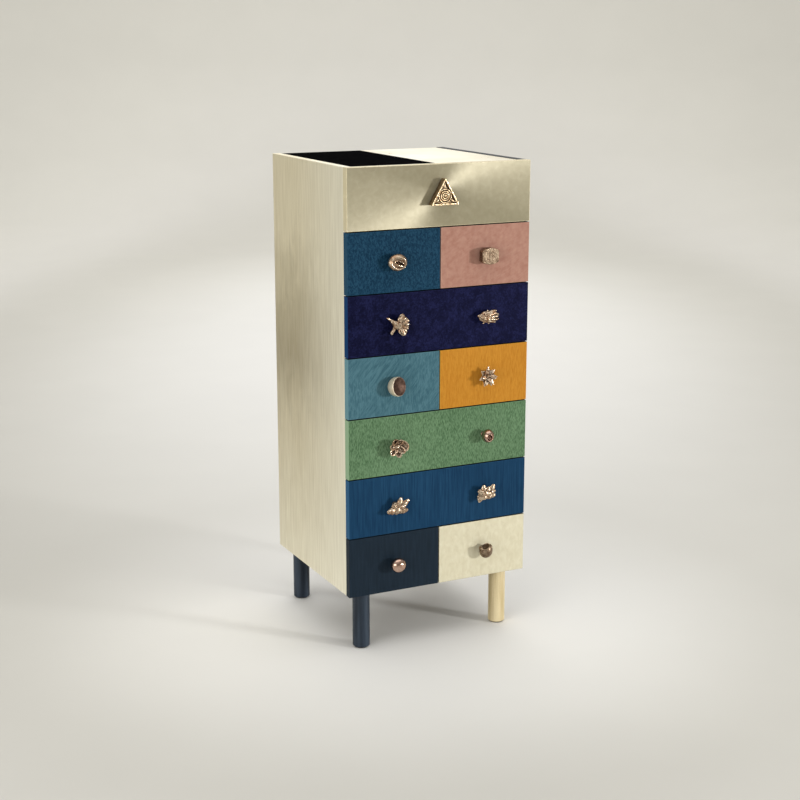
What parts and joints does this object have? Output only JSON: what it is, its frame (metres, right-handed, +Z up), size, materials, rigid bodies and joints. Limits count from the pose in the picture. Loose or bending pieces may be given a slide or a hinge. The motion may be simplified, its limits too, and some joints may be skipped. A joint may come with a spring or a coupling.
{
  "type": "chest of drawers",
  "caption": "Tall narrow chest of drawers on round legs, with full and half-width fronts in many dyed veneers, a gold-leafed side and a different cast bronze knob on each front.",
  "frame": {"origin": "on the floor, under the middle of the box that holds the whole chest with its knobs", "axes": "+Z up, -Y the way the drawers open, +X to the right of someone who stands before the chest"},
  "size_m": [0.5, 0.506, 1.22],
  "materials": {
    "gold_leafed_side": "wood panel under satin champagne gold leaf",
    "brass_leaf": "wood panel under satin brushed brass leaf",
    "pale_gold_top": "wood panel under polished pale gold leaf",
    "ivory_gold": "wood under satin ivory-gold lacquer",
    "navy_lacquer": "wood under satin navy-black lacquer",
    "black_lacquer": "matte black lacquer",
    "teal_veneer": "figured veneer dyed teal, satin",
    "pink_veneer": "veneer dyed dusty pink, satin",
    "indigo_veneer": "bird's-eye veneer dyed indigo, satin",
    "sky_veneer": "streaked veneer dyed light blue, satin",
    "mustard_veneer": "fine veneer dyed mustard, satin",
    "green_veneer": "flecked veneer dyed green, satin",
    "blue_veneer": "straight-grained veneer dyed blue, satin",
    "carcass_wood": "dark stained plywood, oiled",
    "drawer_wood": "pale maple, waxed",
    "cast_bronze": "cast rose bronze, polished on the high spots",
    "steel": "zinc plated steel",
    "felt": "dark felt pad"
  },
  "bodies": {
    "carcass": {"left_side_panel": "gold_leafed_side", "right_side_panel": "navy_lacquer", "bottom_board": "carcass_wood", "top_board": "carcass_wood", "top_inlay_dark": "black_lacquer", "top_inlay_gold": "pale_gold_top", "back_panel": "carcass_wood", "back_screws": "steel", "dust_boards": "carcass_wood", "partitions": "carcass_wood", "leg_front_left": "navy_lacquer", "leg_front_right": "ivory_gold", "leg_back_left": "navy_lacquer", "leg_back_right": "ivory_gold", "leg_bolts": "steel", "leg_inserts": "steel", "leg_glides": "felt"},
    "brass_drawer": {"brass_drawer_front": "brass_leaf", "brass_drawer_box": "drawer_wood", "brass_drawer_screws": "steel", "knob_triangle": "cast_bronze"},
    "teal_drawer": {"teal_drawer_front": "teal_veneer", "teal_drawer_box": "drawer_wood", "teal_drawer_screws": "steel", "knob_cowrie": "cast_bronze"},
    "pink_drawer": {"pink_drawer_front": "pink_veneer", "pink_drawer_box": "drawer_wood", "pink_drawer_screws": "steel", "knob_barrel": "cast_bronze"},
    "indigo_drawer": {"indigo_drawer_front": "indigo_veneer", "indigo_drawer_box": "drawer_wood", "indigo_drawer_screws": "steel", "knob_orchid": "cast_bronze", "knob_leaf": "cast_bronze"},
    "sky_drawer": {"sky_drawer_front": "sky_veneer", "sky_drawer_box": "drawer_wood", "sky_drawer_screws": "steel", "knob_cup": "cast_bronze"},
    "mustard_drawer": {"mustard_drawer_front": "mustard_veneer", "mustard_drawer_box": "drawer_wood", "mustard_drawer_screws": "steel", "knob_star": "cast_bronze"},
    "green_drawer": {"green_drawer_front": "green_veneer", "green_drawer_box": "drawer_wood", "green_drawer_screws": "steel", "knob_flower": "cast_bronze", "knob_bud": "cast_bronze"},
    "blue_drawer": {"blue_drawer_front": "blue_veneer", "blue_drawer_box": "drawer_wood", "blue_drawer_screws": "steel", "knob_nugget": "cast_bronze", "knob_shell": "cast_bronze"},
    "navy_drawer": {"navy_drawer_front": "navy_lacquer", "navy_drawer_box": "drawer_wood", "navy_drawer_screws": "steel", "knob_pebble": "cast_bronze"},
    "ivory_drawer": {"ivory_drawer_front": "ivory_gold", "ivory_drawer_box": "drawer_wood", "ivory_drawer_screws": "steel", "knob_nut": "cast_bronze"}
  },
  "joints": [
    {"name": "brass_drawer_slide", "type": "slide", "parent": "carcass", "child": "brass_drawer", "axis": [0, -1, 0], "range_m": [0, 0.3]},
    {"name": "teal_drawer_slide", "type": "slide", "parent": "carcass", "child": "teal_drawer", "axis": [0, -1, 0], "range_m": [0, 0.3]},
    {"name": "pink_drawer_slide", "type": "slide", "parent": "carcass", "child": "pink_drawer", "axis": [0, -1, 0], "range_m": [0, 0.3]},
    {"name": "indigo_drawer_slide", "type": "slide", "parent": "carcass", "child": "indigo_drawer", "axis": [0, -1, 0], "range_m": [0, 0.3]},
    {"name": "sky_drawer_slide", "type": "slide", "parent": "carcass", "child": "sky_drawer", "axis": [0, -1, 0], "range_m": [0, 0.3]},
    {"name": "mustard_drawer_slide", "type": "slide", "parent": "carcass", "child": "mustard_drawer", "axis": [0, -1, 0], "range_m": [0, 0.3]},
    {"name": "green_drawer_slide", "type": "slide", "parent": "carcass", "child": "green_drawer", "axis": [0, -1, 0], "range_m": [0, 0.3]},
    {"name": "blue_drawer_slide", "type": "slide", "parent": "carcass", "child": "blue_drawer", "axis": [0, -1, 0], "range_m": [0, 0.3]},
    {"name": "navy_drawer_slide", "type": "slide", "parent": "carcass", "child": "navy_drawer", "axis": [0, -1, 0], "range_m": [0, 0.3]},
    {"name": "ivory_drawer_slide", "type": "slide", "parent": "carcass", "child": "ivory_drawer", "axis": [0, -1, 0], "range_m": [0, 0.3]}
  ]
}
